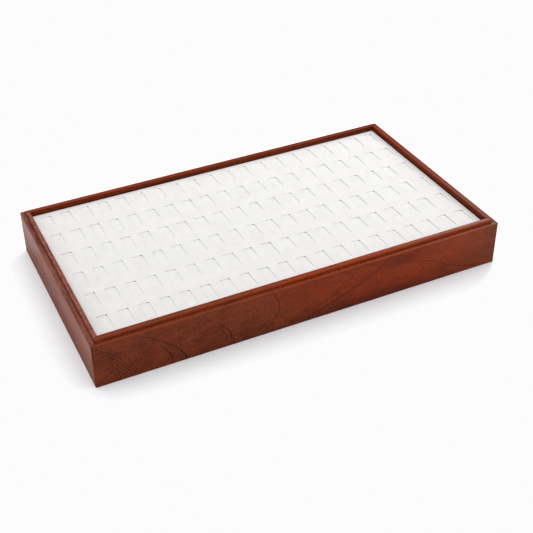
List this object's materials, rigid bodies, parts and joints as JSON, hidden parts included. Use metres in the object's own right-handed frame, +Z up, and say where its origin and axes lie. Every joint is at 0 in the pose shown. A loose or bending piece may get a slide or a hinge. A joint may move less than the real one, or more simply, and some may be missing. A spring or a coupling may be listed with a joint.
{
  "type": "ring display tray",
  "caption": "Shallow stained wooden tray with a stepped stacking rim and a white lift-out insert, whose rows of sprung tongues each hold a ring.",
  "frame": {"origin": "centre of the tray's footprint, on the surface that it stands on", "axes": "+X along the front board to the right, +Y from the front board to the back board, +Z up"},
  "size_m": [0.45, 0.25, 0.0535],
  "materials": {
    "stained_wood": "reddish brown stain under satin lacquer",
    "spline_wood": "sawn hardwood, bare",
    "plywood": "sanded birch plywood, bare",
    "hardboard": "pressed hardboard, smooth face",
    "softwood": "planed softwood, bare",
    "greyboard": "stiff greyboard, uncoated",
    "white_microfibre": "white microfibre suede, matt"
  },
  "bodies": {
    "tray": {"front_board": "stained_wood", "back_board": "stained_wood", "left_board": "stained_wood", "right_board": "stained_wood", "corner_spline_1": "spline_wood", "corner_spline_2": "spline_wood", "corner_spline_3": "spline_wood", "corner_spline_4": "spline_wood", "bottom_panel": "plywood"},
    "insert": {"insert_base": "hardboard", "insert_front_rail": "softwood", "insert_back_rail": "softwood", "insert_left_rail": "softwood", "insert_right_rail": "softwood", "row_rib_1": "softwood", "row_rib_2": "softwood", "row_rib_3": "softwood", "row_rib_4": "softwood", "row_rib_5": "softwood", "comb_spine_1": "greyboard", "comb_spine_2": "greyboard", "comb_spine_3": "greyboard", "comb_spine_4": "greyboard", "comb_spine_5": "greyboard", "comb_spine_6": "greyboard", "window_panel": "greyboard", "microfibre_cover": "white_microfibre"},
    "tongues_1": {"tongue_row_1": "white_microfibre"},
    "tongues_2": {"tongue_row_2": "white_microfibre"},
    "tongues_3": {"tongue_row_3": "white_microfibre"},
    "tongues_4": {"tongue_row_4": "white_microfibre"},
    "tongues_5": {"tongue_row_5": "white_microfibre"},
    "tongues_6": {"tongue_row_6": "white_microfibre"}
  },
  "joints": [
    {"name": "insert_lift", "type": "slide", "parent": "tray", "child": "insert", "axis": [0, 0, 1], "range_m": [0, 0.03]},
    {"name": "tongue_hinge_1", "type": "hinge", "parent": "insert", "child": "tongues_1", "pos_m": [0, -0.1065, 0.0447], "axis": [1, 0, 0], "range_deg": [-12, 0], "stiffness_Nm_per_rad": 0.5, "springref_deg": 0.57},
    {"name": "tongue_hinge_2", "type": "hinge", "parent": "insert", "child": "tongues_2", "pos_m": [0, -0.0685, 0.0447], "axis": [1, 0, 0], "range_deg": [-12, 0], "stiffness_Nm_per_rad": 0.5, "springref_deg": 0.57},
    {"name": "tongue_hinge_3", "type": "hinge", "parent": "insert", "child": "tongues_3", "pos_m": [0, -0.0305, 0.0447], "axis": [1, 0, 0], "range_deg": [-12, 0], "stiffness_Nm_per_rad": 0.5, "springref_deg": 0.57},
    {"name": "tongue_hinge_4", "type": "hinge", "parent": "insert", "child": "tongues_4", "pos_m": [0, 0.0075, 0.0447], "axis": [1, 0, 0], "range_deg": [-12, 0], "stiffness_Nm_per_rad": 0.5, "springref_deg": 0.57},
    {"name": "tongue_hinge_5", "type": "hinge", "parent": "insert", "child": "tongues_5", "pos_m": [0, 0.0455, 0.0447], "axis": [1, 0, 0], "range_deg": [-12, 0], "stiffness_Nm_per_rad": 0.5, "springref_deg": 0.57},
    {"name": "tongue_hinge_6", "type": "hinge", "parent": "insert", "child": "tongues_6", "pos_m": [0, 0.0835, 0.0447], "axis": [1, 0, 0], "range_deg": [-12, 0], "stiffness_Nm_per_rad": 0.5, "springref_deg": 0.57}
  ]
}
